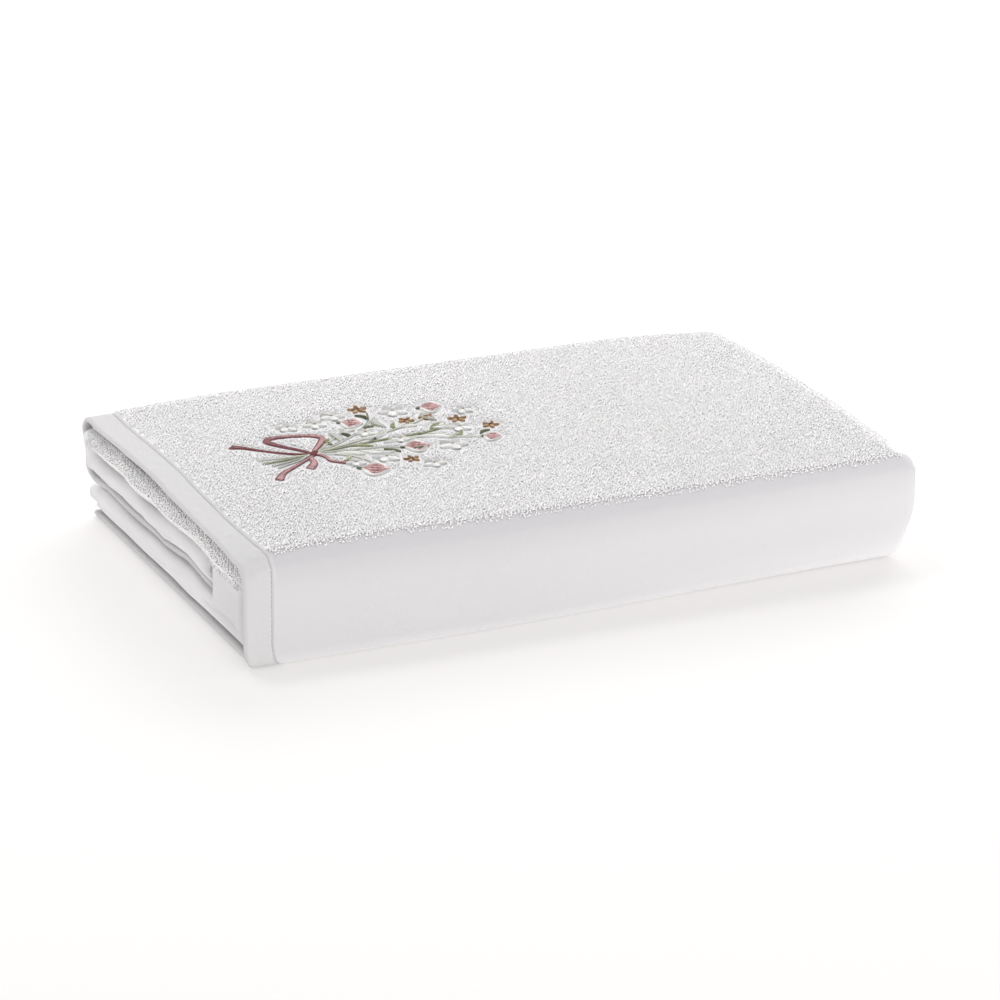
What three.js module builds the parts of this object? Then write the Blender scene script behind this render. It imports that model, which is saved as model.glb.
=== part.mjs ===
// A bath towel folded into a flat pack, in millimetres.
// X runs along the pack, Y across it and Z up. The origin is at the middle of its underside.
//
// The towel is one sheet. It is first folded twice along its length, so that a panel has four
// layers, and then in thirds across its width. Both folds are in one section of the sheet:
//   the lay   the line of the four layers, as x along the pack and depth below its outside
//   the wrap  the line that a depth takes round the pack: under it, up the front, over the
//             top, down the back and into the middle
import * as THREE from 'three';

// The pack.
const PACK_LENGTH = 380;
const PACK_WIDTH = 244;
const LAYERS = 4;
const LAYER_PITCH = 4.95;
const THIRD_HEIGHT = LAYERS * LAYER_PITCH;
const PACK_HEIGHT = 3 * THIRD_HEIGHT;

// The cloth. A hem is woven flat and turned in, so it is thinner than the pile beside it.
const CLOTH_THICKNESS = 3.8;
const HEM_THICKNESS = 2.7;
const HEM_WIDTH = 15.4;
const HEM_STEP = 1.2;
const HEM_NOSE = 0.8;
const HEM_SUNK = 0.6;

// The depth of each layer's middle below the outside of the pack. The outer half of the towel
// holds the layers outerHem and innermost, and the inner half holds innerHem and second.
const DEPTH = {
  outerHem: CLOTH_THICKNESS / 2,
  innerHem: CLOTH_THICKNESS / 2 + LAYER_PITCH,
  second: CLOTH_THICKNESS / 2 + 2 * LAYER_PITCH,
  innermost: CLOTH_THICKNESS / 2 + 3 * LAYER_PITCH,
};
const INNER_HEM_RISE = 0.7;
const LEAST_SLOPE = 8;

// The wrap. The inner layers stand open behind the front fold, so they turn later there.
const FRONT_LOW_RADIUS = 2.5;
const FRONT_HIGH_RADIUS = 9;
const BACK_EDGE_RADIUS = 10;
const TIGHTEST_RADIUS = 2.5;
const LEAST_STRAIGHT = 0.6;
const FRONT_POCKET = 34;
const POCKET_RADIUS = 1;
const POCKET_FROM = DEPTH.second + CLOTH_THICKNESS / 2;
const POCKET_TO = DEPTH.innermost - CLOTH_THICKNESS / 2;
const UNDER_EDGE_INSET = 7;
const UNDER_EDGE_SLANT = 0.2;
const MIDDLE_EDGE_INSET = 58;

// The stretches of the wrap, in the order that the cloth runs through them, and their steps.
const STRETCHES = [
  { name: 'under', steps: 6 },
  { name: 'frontLow', steps: 5 },
  { name: 'front', steps: 4 },
  { name: 'frontHigh', steps: 5 },
  { name: 'top', steps: 7 },
  { name: 'backHigh', steps: 5 },
  { name: 'back', steps: 2 },
  { name: 'backLow', steps: 5 },
  { name: 'middle', steps: 5 },
];

// How the layers end, at places along the wrap. The place is counted in stretches, so 2.5 is
// half-way up the front. outerHem, innerHem and bulge are how far the two hems and the fold
// between them stop short of the left end, lift is how far that fold swells towards the hems,
// and tuck is how far the folds at the right end stop short of it.
const ENDS = [
  { place: 0.00, outerHem: 1.5, innerHem: 4, bulge: 2.0, lift: 2.2, tuck: 6 },
  { place: 0.50, outerHem: 0.5, innerHem: 4, bulge: 1.5, lift: 2.2, tuck: 8 },
  { place: 1.00, outerHem: 0, innerHem: 4, bulge: 1.5, lift: 2.2, tuck: 8 },
  { place: 1.50, outerHem: 0, innerHem: 10, bulge: 1.2, lift: 2.6, tuck: 6 },
  { place: 2.00, outerHem: 0, innerHem: 12, bulge: 1.0, lift: 4.0, tuck: 5 },
  { place: 2.50, outerHem: 0.5, innerHem: 12, bulge: 0.5, lift: 4.4, tuck: 2 },
  { place: 3.00, outerHem: 0.5, innerHem: 12, bulge: 0.2, lift: 4.6, tuck: 4 },
  { place: 3.50, outerHem: 0, innerHem: 12, bulge: 0.0, lift: 4.5, tuck: 6 },
  { place: 4.00, outerHem: -0.5, innerHem: 12, bulge: 0.0, lift: 4.4, tuck: 4 },
  { place: 4.40, outerHem: 0, innerHem: 12, bulge: 0.0, lift: 4.2, tuck: 1 },
  { place: 4.55, outerHem: 1, innerHem: 6, bulge: 0.0, lift: 2.3, tuck: 2 },
  { place: 4.80, outerHem: 1, innerHem: 5, bulge: 0.0, lift: 2.3, tuck: 3 },
  { place: 5.00, outerHem: 2, innerHem: 5, bulge: 0.5, lift: 2.3, tuck: 3 },
  { place: 5.50, outerHem: 2, innerHem: 12, bulge: 0.0, lift: 3.5, tuck: 4 },
  { place: 6.00, outerHem: 2, innerHem: 12, bulge: -1.0, lift: 4.4, tuck: 4 },
  { place: 7.00, outerHem: 3, innerHem: 12, bulge: -1.0, lift: 4.4, tuck: 5 },
  { place: 8.00, outerHem: 5, innerHem: 11, bulge: 0.5, lift: 3.5, tuck: 5 },
  { place: 8.30, outerHem: 6, innerHem: 6, bulge: 1.0, lift: 2.3, tuck: 5 },
  { place: 9.00, outerHem: 7, innerHem: 6, bulge: 2.0, lift: 2.3, tuck: 6 },
];

// The steps of the lay.
const OUTER_FOLD_STEPS = 8;
const BULGE_STEPS = 10;
const INNER_FOLD_STEPS = 6;
const RUN_STEPS = 4;

// The fold between the hems is fuller than a half circle.
const BULGE_FULLNESS = 0.6;

// The pack is a little thicker at its left front corner and crowned along its middle. Its top
// is slack towards the hem, which hangs over the front corner there.
const CORNER_SWELL = 0.05;
const CORNER_SWELL_REACH = 110;
const CROWN = 0.02;
const FRONT_BELLY = 3;
const RIGHT_UNDERCUT = 12;
const BACK_CORNER_SAG = { left: 0.05, right: 0.08, reach: 45 };
const HEM_SLACK = {
  everywhere: 1.2,
  deepest: 2.5,
  deepestFromFront: 55,
  reach: 50,
  from: 110,
  to: 180,
};
const HEM_OVERHANG = { drop: 4.5, from: 172, to: 191, reach: 30, drawnIn: 0.2 };
const DROOP_FROM_LEVEL = 0.35;
const BACK_EDGE_HOLD = 40;

const LEFT = -PACK_LENGTH / 2;
const RIGHT = PACK_LENGTH / 2;
const FRONT = -PACK_WIDTH / 2;
const BACK = PACK_WIDTH / 2;

const cloth = new THREE.MeshStandardMaterial({
  name: 'white terry cotton',
  color: new THREE.Color(0.9, 0.895, 0.885),
  roughness: 0.95,
  metalness: 0,
});

function endsAt(place) {
  const next = Math.max(1, ENDS.findIndex((row) => row.place >= place));
  const low = ENDS[next - 1];
  const high = ENDS[next];
  const share = THREE.MathUtils.smoothstep(place, low.place, high.place);
  const row = {};
  for (const key of Object.keys(low)) {
    row[key] = THREE.MathUtils.lerp(low[key], high[key], share);
  }
  return row;
}

// A point of the lay: x, depth and half the thickness there.
function layPoint(x, depth, half = CLOTH_THICKNESS / 2) {
  return { x, depth, half };
}

// Half a turn. side is 1 at the right end, opening is 1 if it starts at the lesser depth, and a
// fullness below 1 makes it blunter than a half circle.
function turn(centreX, centreDepth, radius, side, steps, opening = 1, fullness = 1) {
  const points = [];
  for (let i = 0; i <= steps; i += 1) {
    const angle = (Math.PI * i) / steps;
    const x = centreX + side * radius * Math.max(0, Math.sin(angle)) ** fullness;
    points.push(layPoint(x, centreDepth - opening * radius * Math.cos(angle)));
  }
  return points;
}

// The points between the ends of a straight stretch of one layer.
function run(fromX, toX, depth) {
  const points = [];
  for (let i = 1; i < RUN_STEPS; i += 1) {
    points.push(layPoint(THREE.MathUtils.lerp(fromX, toX, i / RUN_STEPS), depth));
  }
  return points;
}

// The flat-woven end of a half of the towel, and the step up to its pile.
function hem(edgeX, depth) {
  const half = HEM_THICKNESS / 2;
  return [
    layPoint(edgeX, depth, half),
    layPoint(edgeX + HEM_WIDTH, depth, half),
    layPoint(edgeX + HEM_WIDTH + HEM_STEP, depth),
  ];
}

// The line of the four layers at one place of the wrap, from the outer hem to the inner one.
function layAt(place) {
  const ends = endsAt(place);
  const lifted = DEPTH.second - ends.lift;
  const outerFold = (DEPTH.innermost - DEPTH.outerHem) / 2;
  const innerFold = (DEPTH.second - DEPTH.innerHem) / 2;
  const bulge = (DEPTH.innermost - lifted) / 2;
  const rightX = RIGHT - ends.tuck - outerFold - CLOTH_THICKNESS / 2;
  const bulgeX = LEFT + ends.bulge + bulge + CLOTH_THICKNESS / 2;
  const outerHemX = LEFT + ends.outerHem + HEM_NOSE;
  const innerHemX = LEFT + ends.innerHem + HEM_NOSE;
  const outerHem = hem(outerHemX, HEM_SUNK + HEM_THICKNESS / 2);
  outerHem[2].depth = DEPTH.outerHem;
  const innerHem = hem(innerHemX, DEPTH.innerHem - INNER_HEM_RISE);
  innerHem[2].depth = DEPTH.innerHem;
  const settledX = Math.max(innerHemX, bulgeX + LEAST_SLOPE);
  return [
    ...outerHem,
    ...run(outerHem[2].x, rightX, DEPTH.outerHem),
    ...turn(rightX, (DEPTH.outerHem + DEPTH.innermost) / 2, outerFold, 1, OUTER_FOLD_STEPS),
    ...run(rightX, bulgeX, DEPTH.innermost),
    ...turn(
      bulgeX, (DEPTH.innermost + lifted) / 2, bulge, -1, BULGE_STEPS, -1, BULGE_FULLNESS,
    ),
    layPoint(settledX, DEPTH.second),
    ...run(settledX, rightX, DEPTH.second),
    ...turn(rightX, (DEPTH.second + DEPTH.innerHem) / 2, innerFold, 1, INNER_FOLD_STEPS, -1),
    ...run(rightX, innerHem[2].x, DEPTH.innerHem),
    ...innerHem.reverse(),
  ];
}

// The closed section of the sheet along its lay: out along one face, round the inner hem's
// edge, back along the other face and round the outer hem's edge.
function sectionAt(place) {
  const line = layAt(place);
  const faces = line.map((point, i) => {
    const before = line[Math.max(0, i - 1)];
    const after = line[Math.min(line.length - 1, i + 1)];
    const along = new THREE.Vector2(after.x - before.x, after.depth - before.depth).normalize();
    const offset = (side) => new THREE.Vector2(
      point.x + side * along.y * point.half,
      point.depth - side * along.x * point.half,
    );
    return { outside: offset(1), inside: offset(-1) };
  });
  const first = line[0];
  const last = line[line.length - 1];
  return [
    ...faces.map((face) => face.outside),
    new THREE.Vector2(last.x - HEM_NOSE, last.depth),
    ...faces.map((face) => face.inside).reverse(),
    new THREE.Vector2(first.x - HEM_NOSE, first.depth),
  ];
}

function cornerRadius(depth, outerRadius, room) {
  const widest = (room - LEAST_STRAIGHT) / 2;
  return Math.min(Math.max(TIGHTEST_RADIUS, outerRadius - depth), widest);
}

// Where a depth lies at one stretch of the wrap, as a point of Y and Z.
function wrapPoint(depth, name, share) {
  const pocket = THREE.MathUtils.smoothstep(depth, POCKET_FROM, POCKET_TO);
  const frontY = FRONT + depth + FRONT_POCKET * pocket;
  const backY = BACK - depth;
  const lowZ = depth;
  const highZ = PACK_HEIGHT - depth;
  const middleZ = THIRD_HEIGHT + depth;
  const low = cornerRadius(depth, FRONT_LOW_RADIUS, highZ - lowZ) + POCKET_RADIUS * pocket;
  const high = cornerRadius(depth, FRONT_HIGH_RADIUS, highZ - lowZ) + POCKET_RADIUS * pocket;
  const back = cornerRadius(depth, BACK_EDGE_RADIUS, highZ - middleZ);
  const straight = (fromY, fromZ, toY, toZ) => ({
    y: THREE.MathUtils.lerp(fromY, toY, share),
    z: THREE.MathUtils.lerp(fromZ, toZ, share),
  });
  const corner = (centreY, centreZ, radius, quarters) => {
    const angle = ((quarters - share) * Math.PI) / 2;
    return { y: centreY + radius * Math.cos(angle), z: centreZ + radius * Math.sin(angle) };
  };
  const underEdgeY = BACK - UNDER_EDGE_INSET + UNDER_EDGE_SLANT * depth;
  const middleEdgeY = FRONT + MIDDLE_EDGE_INSET;
  switch (name) {
    case 'under': return straight(underEdgeY, lowZ, frontY + low, lowZ);
    case 'frontLow': return corner(frontY + low, lowZ + low, low, 3);
    case 'front': return straight(frontY, lowZ + low, frontY, highZ - high);
    case 'frontHigh': return corner(frontY + high, highZ - high, high, 2);
    case 'top': return straight(frontY + high, highZ, backY - back, highZ);
    case 'backHigh': return corner(backY - back, highZ - back, back, 1);
    case 'back': return straight(backY, highZ - back, backY, middleZ + back);
    case 'backLow': return corner(backY - back, middleZ + back, back, 0);
    default: return straight(backY - back, middleZ, middleEdgeY, middleZ);
  }
}

// The pack's own unevenness, which leaves its underside flat.
function settle(x, y, z) {
  const { smoothstep } = THREE.MathUtils;
  const level = z / PACK_HEIGHT;
  const fromCorner = Math.hypot(x - LEFT, (y - FRONT) / 2) / CORNER_SWELL_REACH;
  const swell = CORNER_SWELL * Math.exp(-fromCorner * fromCorner);
  const acrossLength = 1 - (x / RIGHT) ** 2;
  const crown = CROWN * acrossLength * (1 - (y / BACK) ** 2);
  const sagAt = (endX, depth) => {
    const away = Math.hypot(x - endX, y - BACK) / BACK_CORNER_SAG.reach;
    return depth * Math.exp(-away * away);
  };
  const sag = sagAt(LEFT, BACK_CORNER_SAG.left) + sagAt(RIGHT, BACK_CORNER_SAG.right);
  const belly = FRONT_BELLY * acrossLength * 4 * level * (1 - level);
  const towardsRight = smoothstep(x, LEFT / 2, RIGHT);
  const undercut = RIGHT_UNDERCUT * towardsRight * (1 - level) ** 2;
  const frontShare = smoothstep(-y, 0, BACK);
  const fromDeepest = (y - FRONT - HEM_SLACK.deepestFromFront) / HEM_SLACK.reach;
  const slack = HEM_SLACK.everywhere + HEM_SLACK.deepest * Math.exp(-fromDeepest * fromDeepest);
  const fromFront = (y - FRONT) / HEM_OVERHANG.reach;
  const overhang = HEM_OVERHANG.drop * Math.exp(-fromFront * fromFront);
  const hanging = overhang * smoothstep(-x, HEM_OVERHANG.from, HEM_OVERHANG.to);
  const sinking = slack * smoothstep(-x, HEM_SLACK.from, HEM_SLACK.to);
  const held = smoothstep(level, DROOP_FROM_LEVEL, 1) * smoothstep(BACK - y, 0, BACK_EDGE_HOLD);
  const droop = (hanging + sinking) * held;
  const drawnIn = HEM_OVERHANG.drawnIn * droop * smoothstep(level, 0.6, 1);
  return [
    x,
    y + (undercut - belly) * frontShare + drawnIn,
    z * (1 + swell + crown - sag) - droop,
  ];
}

function towelGeometry() {
  const positions = [];
  const rows = [];
  STRETCHES.forEach(({ name, steps }, stretch) => {
    for (let i = stretch === 0 ? 0 : 1; i <= steps; i += 1) {
      rows.push({ name, share: i / steps, place: stretch + i / steps });
    }
  });
  const sections = rows.map((row) => sectionAt(row.place));
  rows.forEach((row, r) => {
    sections[r].forEach((point) => {
      const { y, z } = wrapPoint(point.y, row.name, row.share);
      positions.push(...settle(point.x, y, z));
    });
  });
  const ring = sections[0].length;
  const indices = [];
  for (let r = 0; r < rows.length - 1; r += 1) {
    for (let i = 0; i < ring; i += 1) {
      const a = r * ring + i;
      const b = r * ring + ((i + 1) % ring);
      indices.push(a, b, a + ring, b, b + ring, a + ring);
    }
  }
  // A selvedge closes the sheet with a ladder from its outside face to its inside face.
  const rungs = ring / 2 - 1;
  const closeSelvedge = (r, flip) => {
    const base = r * ring;
    const close = (a, b, c) => {
      indices.push(base + a, base + (flip ? c : b), base + (flip ? b : c));
    };
    for (let i = 0; i < rungs - 1; i += 1) {
      const across = ring - 2 - i;
      close(i, i + 1, across);
      close(i + 1, across - 1, across);
    }
    close(rungs - 1, rungs, rungs + 1);
    close(0, ring - 2, ring - 1);
  };
  closeSelvedge(0, true);
  closeSelvedge(rows.length - 1, false);
  const geometry = new THREE.BufferGeometry();
  geometry.setAttribute('position', new THREE.Float32BufferAttribute(positions, 3));
  geometry.setIndex(indices);
  geometry.computeBoundingBox();
  const { min, max } = geometry.boundingBox;
  geometry.translate(-(min.x + max.x) / 2, -(min.y + max.y) / 2, 0);
  geometry.computeVertexNormals();
  return geometry;
}

const towel = new THREE.Mesh(towelGeometry(), cloth);
towel.name = 'towel';

const foldedTowel = new THREE.Group();
foldedTowel.add(towel);

export default foldedTowel;
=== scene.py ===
"""A folded bath towel of white terry with a bouquet sewn on it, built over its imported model."""
import math

import bpy
import numpy as np
from mathutils import Matrix, Vector
from mathutils.kdtree import KDTree


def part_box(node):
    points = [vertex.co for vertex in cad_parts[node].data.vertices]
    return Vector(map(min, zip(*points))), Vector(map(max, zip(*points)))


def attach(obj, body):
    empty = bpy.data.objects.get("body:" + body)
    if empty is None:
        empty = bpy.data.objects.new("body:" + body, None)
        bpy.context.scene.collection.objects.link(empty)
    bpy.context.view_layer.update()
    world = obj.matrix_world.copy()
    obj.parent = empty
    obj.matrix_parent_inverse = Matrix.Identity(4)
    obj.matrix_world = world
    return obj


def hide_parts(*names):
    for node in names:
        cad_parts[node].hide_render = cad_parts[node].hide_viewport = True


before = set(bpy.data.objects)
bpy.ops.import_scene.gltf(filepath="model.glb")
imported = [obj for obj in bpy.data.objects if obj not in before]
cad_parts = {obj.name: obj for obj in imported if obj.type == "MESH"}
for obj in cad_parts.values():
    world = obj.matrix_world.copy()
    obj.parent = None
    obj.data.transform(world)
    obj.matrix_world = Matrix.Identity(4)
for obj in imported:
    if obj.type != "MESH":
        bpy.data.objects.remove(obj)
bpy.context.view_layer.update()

# Sizes are given in millimetres and made in metres.
MM = 0.001

# The towel itself: one length of cotton, 0.73 m wide and 1.50 m long, with loops on both faces
# and a flat-woven hem turned in at each end. It is folded in quarters along its length and
# then in thirds across its width. The sheet here is the ground that the loops stand on.
LEFT, RIGHT, FRONT, BACK = -190.0, 190.0, -122.0, 122.0
LAYERS = 4
LAYER_PITCH = 4.95
THIRD_HEIGHT = LAYERS * LAYER_PITCH
PACK_HEIGHT = 3 * THIRD_HEIGHT
CLOTH_HALF = 1.9
GROUND_HALF = 1.3
HEM_HALF = 1.35
HEM_WIDTH = 15.4
HEM_STEP = 1.2
HEM_NOSE = 0.8
HEM_SUNK = 0.6
OUTER_HEM, INNER_HEM, SECOND, INNERMOST = (CLOTH_HALF + LAYER_PITCH * i for i in range(LAYERS))
INNER_HEM_RISE = 0.7
LEAST_SLOPE = 8.0

# The stretches of the cloth round the pack, and how many strips each is cut into.
STRETCHES = (
    ("under", 10), ("frontLow", 8), ("front", 12), ("frontHigh", 10), ("top", 56),
    ("backHigh", 9), ("back", 5), ("backLow", 8), ("middle", 12),
)
# Place round the pack, then how far short of the left end the outer hem, the inner hem and the
# fold between them stop, how far that fold swells, and how far short the right folds stop.
ENDS = np.array([
    (0.00, 5.5, 7, 3.5, 2.2, 6), (0.50, 5.5, 7, 3.0, 2.2, 8), (1.00, 5, 7, 2.5, 2.2, 8),
    (1.50, 3, 10, 1.8, 2.6, 6), (2.00, 1.4, 12, 1.2, 4.0, 5), (2.15, 0.2, 12, 1.0, 4.2, 4),
    (2.50, 0.3, 12, 0.5, 4.4, 1.5), (3.00, 0.5, 12, 0.2, 4.6, 2.5), (3.50, 0, 12, 0.0, 4.5, 3.5),
    (4.00, -0.5, 12, 0.0, 4.4, 3), (4.40, 0, 12, 0.0, 4.2, 1), (4.55, 1, 6, 0.0, 2.3, 2),
    (4.80, 1, 5, 0.0, 2.3, 3), (5.00, 2, 5, 0.5, 2.3, 3), (5.50, 2, 12, 0.0, 3.5, 4),
    (6.00, 2, 12, -1.0, 4.4, 4), (7.00, 3, 12, -1.0, 4.4, 5), (8.00, 5, 11, 0.5, 3.5, 5),
    (8.30, 6, 6, 1.0, 2.3, 5), (9.00, 7, 6, 2.0, 2.3, 6),
])
# Strips along each part of the layers' line, and how full the fold between the hems is.
OUTER_STEPS, FOLD_STEPS, INNER_STEPS, INNER_FOLD_STEPS, BULGE_STEPS = 104, 18, 12, 8, 20
BULGE_FULLNESS, FULLER_IN_FRONT, FULLER_UP_TO = 0.85, 0.1, 3.5


def eased(value, low, high):
    """0 up to the low value, 1 from the high one on, and a smooth way between them."""
    share = np.clip((value - low) / (high - low), 0, 1)
    return share * share * (3 - 2 * share)


def fading(distance, reach):
    """1 at no distance, and next to nothing beyond twice the reach."""
    return np.exp(-(distance / reach) ** 2)


def distance_along(line):
    """How far each point of a line is from its start, the way along it."""
    return np.concatenate([[0], np.cumsum(np.linalg.norm(np.diff(line, axis=0), axis=1))])


def distances_over(block):
    """How far the columns and the rows of a block of points lie from its first, on average."""
    over = np.linalg.norm(np.diff(block, axis=1), axis=2).mean(0)
    down = np.linalg.norm(np.diff(block, axis=0), axis=2).mean(1)
    return np.concatenate([[0], np.cumsum(over)]), np.concatenate([[0], np.cumsum(down)])


def ends_at(place):
    """The row of ENDS for one place round the pack, between the rows that are given."""
    after = max(1, int(np.searchsorted(ENDS[:, 0], place)))
    low, high = ENDS[after - 1], ENDS[after]
    return (low + (high - low) * eased(place, low[0], high[0]))[1:]


def half_turn(x, depth, radius, side, steps, opening, fullness=1.0):
    """A fold to the right or left (side 1 or -1), going inwards or outwards (opening 1 or -1)."""
    angle = np.linspace(0, math.pi, steps + 1)
    across = x + side * radius * np.sin(angle) ** fullness
    return np.column_stack([across, depth - opening * radius * np.cos(angle)])


def straight(from_x, to_x, depth, steps, crowded=False):
    """The points between two ends of a flat stretch, crowded towards both where that is asked."""
    share = np.arange(1, steps) / steps
    if crowded:
        share = (1 - np.cos(math.pi * share)) / 2
    return np.column_stack([from_x + (to_x - from_x) * share, np.full(steps - 1, depth)])


# Where the hem is cut into strips, with a fine groove along the stitches that hold it.
SEAM_AT, SEAM_DEPTH, SEAM_HALF_WIDTH = 14.0, 0.7, 0.45
HEM_CUTS = (0, 1.5, 4, 7, 10, 12.4, 13.3, 13.8, SEAM_AT, 14.6, 15.0, HEM_WIDTH,
            HEM_WIDTH + HEM_STEP)


def hem_line(edge_x, hem_depth, pile_depth):
    """A hem from its turned edge to the step where the loops begin."""
    cuts = np.array(HEM_CUTS)
    depth = np.where(cuts > HEM_WIDTH, pile_depth, hem_depth)
    return np.column_stack([edge_x + cuts, depth])


def lay_at(place):
    """The line of the four layers at one place round the pack, as x, depth and half thickness."""
    outer_stop, inner_stop, bulge_stop, lift, tuck = ends_at(place)
    lifted = SECOND - lift
    outer_radius = (INNERMOST - OUTER_HEM) / 2
    inner_radius = (SECOND - INNER_HEM) / 2
    bulge_radius = (INNERMOST - lifted) / 2
    fullness = BULGE_FULLNESS + FULLER_IN_FRONT * eased(FULLER_UP_TO - place, 0, 0.8)
    right_x = RIGHT - tuck - outer_radius - CLOTH_HALF
    bulge_x = LEFT + bulge_stop + bulge_radius + CLOTH_HALF
    outer_hem = hem_line(LEFT + outer_stop + HEM_NOSE, HEM_SUNK + HEM_HALF, OUTER_HEM)
    inner_x = LEFT + inner_stop + HEM_NOSE
    inner_hem = hem_line(inner_x, INNER_HEM - INNER_HEM_RISE, INNER_HEM)
    settled_x = max(inner_x, bulge_x + LEAST_SLOPE)
    parts = [
        ("hem", outer_hem),
        ("outer", straight(outer_hem[-1, 0], right_x, OUTER_HEM, OUTER_STEPS)),
        ("fold", half_turn(right_x, (OUTER_HEM + INNERMOST) / 2, outer_radius, 1, FOLD_STEPS, 1)),
        ("inner", straight(right_x, bulge_x, INNERMOST, INNER_STEPS, True)),
        ("bulge", half_turn(bulge_x, (INNERMOST + lifted) / 2, bulge_radius, -1, BULGE_STEPS, -1,
                            fullness)),
        ("inner", np.array([(settled_x, SECOND)])),
        ("inner", straight(settled_x, right_x, SECOND, INNER_STEPS, True)),
        ("inner", half_turn(right_x, (SECOND + INNER_HEM) / 2, inner_radius, 1,
                            INNER_FOLD_STEPS, -1)),
        ("inner", straight(right_x, inner_hem[-1, 0], INNER_HEM, INNER_STEPS, True)),
        ("lining hem", inner_hem[::-1]),
    ]
    line = np.vstack([points for _, points in parts])
    names = [name for name, points in parts for _ in points]
    groove = fading(np.array(HEM_CUTS[:-1]) - SEAM_AT, SEAM_HALF_WIDTH)
    hem_half = HEM_HALF - SEAM_DEPTH * groove
    half = np.full(len(line), GROUND_HALF)
    half[:len(hem_half)] = hem_half
    half[-len(hem_half):] = hem_half[::-1]
    return line, half, names


def faces_at(place):
    """The outside and the inside face of the sheet at one place round the pack."""
    line, half, names = lay_at(place)
    along = np.empty_like(line)
    along[1:-1] = line[2:] - line[:-2]
    along[0], along[-1] = line[1] - line[0], line[-1] - line[-2]
    along /= np.linalg.norm(along, axis=1)[:, None]
    offset = np.column_stack([along[:, 1], -along[:, 0]]) * half[:, None]
    return line + offset, line - offset, names


# How the thirds lie on one another: the radii of their edges, which tighten with depth, the
# pocket that the middle third leaves inside the front, and where the two inner edges stop.
FRONT_LOW_RADIUS, FRONT_HIGH_RADIUS, BACK_EDGE_RADIUS = 2.5, 9.0, 10.0
TIGHTEST_RADIUS = 2.5
LEAST_STRAIGHT = 0.6
FRONT_POCKET, POCKET_RADIUS = 34.0, 1.0
UNDER_EDGE_INSET, UNDER_EDGE_SLANT = 7.0, 0.2
MIDDLE_EDGE_INSET = 58.0


def wrapped(depth, name, share):
    """Where each depth lies at one stretch of the way round the pack, as Y and Z."""
    pocket = eased(depth, SECOND + CLOTH_HALF, INNERMOST - CLOTH_HALF)
    front_y = FRONT + depth + FRONT_POCKET * pocket
    back_y = BACK - depth
    low_z, high_z, middle_z = depth, PACK_HEIGHT - depth, THIRD_HEIGHT + depth

    def rounded(radius, room):
        tightened = np.maximum(TIGHTEST_RADIUS, radius - depth)
        return np.minimum(tightened, (room - LEAST_STRAIGHT) / 2)

    low = rounded(FRONT_LOW_RADIUS, high_z - low_z) + POCKET_RADIUS * pocket
    high = rounded(FRONT_HIGH_RADIUS, high_z - low_z) + POCKET_RADIUS * pocket
    back = rounded(BACK_EDGE_RADIUS, high_z - middle_z)

    def corner(y, z, radius, quarters):
        angle = (quarters - share) * math.pi / 2
        return y + radius * math.cos(angle), z + radius * math.sin(angle)

    def between(start_y, start_z, end_y, end_z):
        return start_y + (end_y - start_y) * share, start_z + (end_z - start_z) * share

    under_edge = BACK - UNDER_EDGE_INSET + UNDER_EDGE_SLANT * depth
    middle_edge = FRONT + MIDDLE_EDGE_INSET
    return {
        "under": between(under_edge, low_z, front_y + low, low_z),
        "frontLow": corner(front_y + low, low_z + low, low, 3),
        "front": between(front_y, low_z + low, front_y, high_z - high),
        "frontHigh": corner(front_y + high, high_z - high, high, 2),
        "top": between(front_y + high, high_z, back_y - back, high_z),
        "backHigh": corner(back_y - back, high_z - back, back, 1),
        "back": between(back_y, high_z - back, back_y, middle_z + back),
        "backLow": corner(back_y - back, middle_z + back, back, 0),
        "middle": between(back_y - back, middle_z, middle_edge, middle_z),
    }[name]


# What sets the pack off from a plain block: swell, crown and sag as shares of the height, the
# rest in millimetres. The hem hangs over the left end, and the creases there run every way.
CORNER_SWELL, CORNER_SWELL_REACH = 0.05, 110.0
CROWN = 0.02
LEFT_SAG, RIGHT_SAG, SAG_REACH = 0.05, 0.08, 45.0
FRONT_BELLY, RIGHT_UNDERCUT = 3.0, 12.0
SLACK, DEEPEST_SLACK, DEEPEST_FROM_FRONT, SLACK_REACH = 1.2, 2.5, 55.0, 50.0
HEM_DROP, HEM_DROP_REACH, HEM_DRAWN_IN = 4.5, 30.0, 0.2
DROOP_FROM_LEVEL, DRAWN_FROM_LEVEL = 0.35, 0.6
BACK_EDGE_HOLD = 40.0
RUCK_DEPTH, CREASE_DEPTH = 0.75, 0.45


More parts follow.
